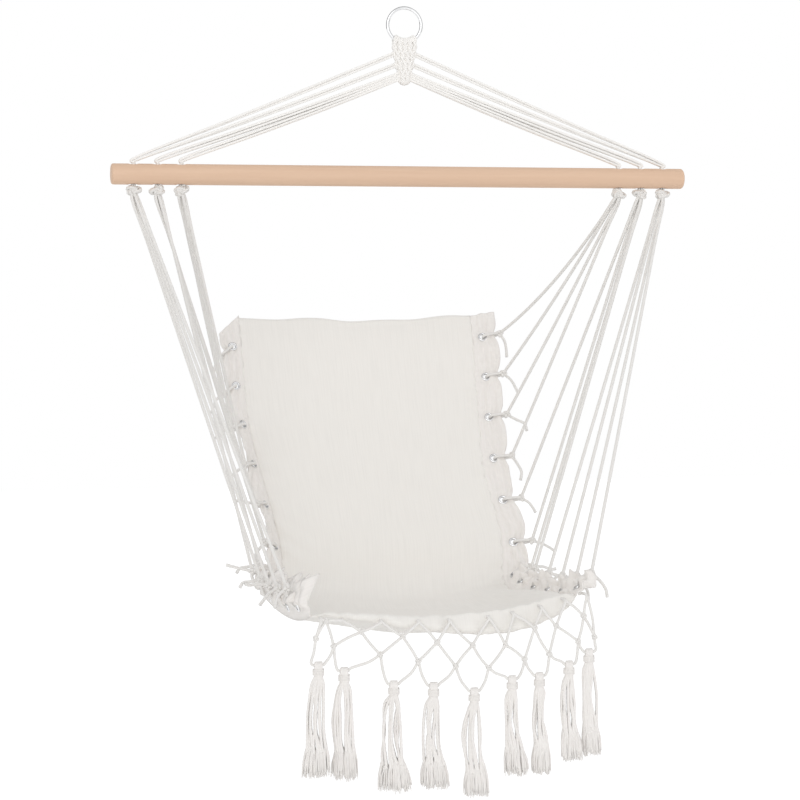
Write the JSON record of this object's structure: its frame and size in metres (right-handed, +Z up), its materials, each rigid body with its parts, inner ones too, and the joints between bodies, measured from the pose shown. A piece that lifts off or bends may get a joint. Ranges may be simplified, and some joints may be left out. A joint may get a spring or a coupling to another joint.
{
  "type": "hammock chair",
  "caption": "Hanging chair with a padded cloth seat slung on cords from a wooden spreader bar, a woven neck and steel ring above, and a knotted net with tassels along the front.",
  "frame": {"origin": "the point inside the top of the hanging ring where a hook bears", "axes": "+X along the spreader bar to the right as seen from the front, +Y towards the back of the seat, +Z up"},
  "size_m": [1, 0.7795, 1.2656],
  "materials": {
    "ring_steel": "polished",
    "eyelet_metal": "polished",
    "suspension_cord": "matt twisted cotton cord",
    "net_cord": "matt twisted cotton cord",
    "tassel_yarn": "loose cotton yarn",
    "pale_wood": "satin, fine straight grain",
    "seat_cloth": "matt woven cotton, softly padded",
    "hem_cloth": "matt woven cotton, unpadded"
  },
  "bodies": {
    "hanger": {"hanging_ring": "ring_steel"},
    "loops": {"cord_loops": "suspension_cord"},
    "suspension": {"woven_neck": "suspension_cord", "left_inner_upper_cords": "suspension_cord", "left_middle_upper_cords": "suspension_cord", "left_outer_upper_cords": "suspension_cord", "right_inner_upper_cords": "suspension_cord", "right_middle_upper_cords": "suspension_cord", "right_outer_upper_cords": "suspension_cord", "spreader_bar": "pale_wood"},
    "seat": {"left_inner_lower_cords": "suspension_cord", "left_middle_lower_cords": "suspension_cord", "left_outer_lower_cords": "suspension_cord", "right_inner_lower_cords": "suspension_cord", "right_middle_lower_cords": "suspension_cord", "right_outer_lower_cords": "suspension_cord", "left_hem": "hem_cloth", "right_hem": "hem_cloth", "left_eyelet_1": "eyelet_metal", "left_eyelet_2": "eyelet_metal", "left_eyelet_3": "eyelet_metal", "left_eyelet_4": "eyelet_metal", "left_eyelet_5": "eyelet_metal", "left_eyelet_6": "eyelet_metal", "left_eyelet_7": "eyelet_metal", "left_eyelet_8": "eyelet_metal", "left_eyelet_9": "eyelet_metal", "left_eyelet_10": "eyelet_metal", "left_eyelet_11": "eyelet_metal", "left_eyelet_12": "eyelet_metal", "right_eyelet_1": "eyelet_metal", "right_eyelet_2": "eyelet_metal", "right_eyelet_3": "eyelet_metal", "right_eyelet_4": "eyelet_metal", "right_eyelet_5": "eyelet_metal", "right_eyelet_6": "eyelet_metal", "right_eyelet_7": "eyelet_metal", "right_eyelet_8": "eyelet_metal", "right_eyelet_9": "eyelet_metal", "right_eyelet_10": "eyelet_metal", "right_eyelet_11": "eyelet_metal", "right_eyelet_12": "eyelet_metal", "seat_pad": "seat_cloth", "front_net": "net_cord"},
    "tassel_1": {"tassel_1": "tassel_yarn"},
    "tassel_2": {"tassel_2": "tassel_yarn"},
    "tassel_3": {"tassel_3": "tassel_yarn"},
    "tassel_4": {"tassel_4": "tassel_yarn"},
    "tassel_5": {"tassel_5": "tassel_yarn"},
    "tassel_6": {"tassel_6": "tassel_yarn"},
    "tassel_7": {"tassel_7": "tassel_yarn"},
    "tassel_8": {"tassel_8": "tassel_yarn"},
    "tassel_9": {"tassel_9": "tassel_yarn"}
  },
  "joints": [
    {"name": "ring_sway", "type": "hinge", "parent": "hanger", "child": "loops", "pos_m": [0, 0, -0.0265], "axis": [0, 1, 0], "range_deg": [-15, 15]},
    {"name": "neck_swing", "type": "hinge", "parent": "loops", "child": "suspension", "pos_m": [0, 0, -0.05575], "axis": [1, 0, 0], "range_deg": [-25, 25]},
    {"name": "seat_rock", "type": "hinge", "parent": "suspension", "child": "seat", "pos_m": [0, 0, -0.3093], "axis": [1, 0, 0], "range_deg": [-20, 20]},
    {"name": "tassel_1_swing", "type": "hinge", "parent": "seat", "child": "tassel_1", "pos_m": [-0.23702, -0.42568, -1.04549], "axis": [1, 0, 0], "range_deg": [-30, 30]},
    {"name": "tassel_2_swing", "type": "hinge", "parent": "seat", "child": "tassel_2", "pos_m": [-0.1968, -0.42568, -1.05576], "axis": [1, 0, 0], "range_deg": [-30, 30]},
    {"name": "tassel_3_swing", "type": "hinge", "parent": "seat", "child": "tassel_3", "pos_m": [-0.11835, -0.42568, -1.07946], "axis": [1, 0, 0], "range_deg": [-30, 30]},
    {"name": "tassel_4_swing", "type": "hinge", "parent": "seat", "child": "tassel_4", "pos_m": [-0.05514, -0.42568, -1.0842], "axis": [1, 0, 0], "range_deg": [-30, 30]},
    {"name": "tassel_5_swing", "type": "hinge", "parent": "seat", "child": "tassel_5", "pos_m": [0.01006, -0.42568, -1.09526], "axis": [1, 0, 0], "range_deg": [-30, 30]},
    {"name": "tassel_6_swing", "type": "hinge", "parent": "seat", "child": "tassel_6", "pos_m": [0.07149, -0.42568, -1.07867], "axis": [1, 0, 0], "range_deg": [-30, 30]},
    {"name": "tassel_7_swing", "type": "hinge", "parent": "seat", "child": "tassel_7", "pos_m": [0.11569, -0.42568, -1.07551], "axis": [1, 0, 0], "range_deg": [-30, 30]},
    {"name": "tassel_8_swing", "type": "hinge", "parent": "seat", "child": "tassel_8", "pos_m": [0.16387, -0.42568, -1.05892], "axis": [1, 0, 0], "range_deg": [-30, 30]},
    {"name": "tassel_9_swing", "type": "hinge", "parent": "seat", "child": "tassel_9", "pos_m": [0.19658, -0.42568, -1.04075], "axis": [1, 0, 0], "range_deg": [-30, 30]}
  ]
}
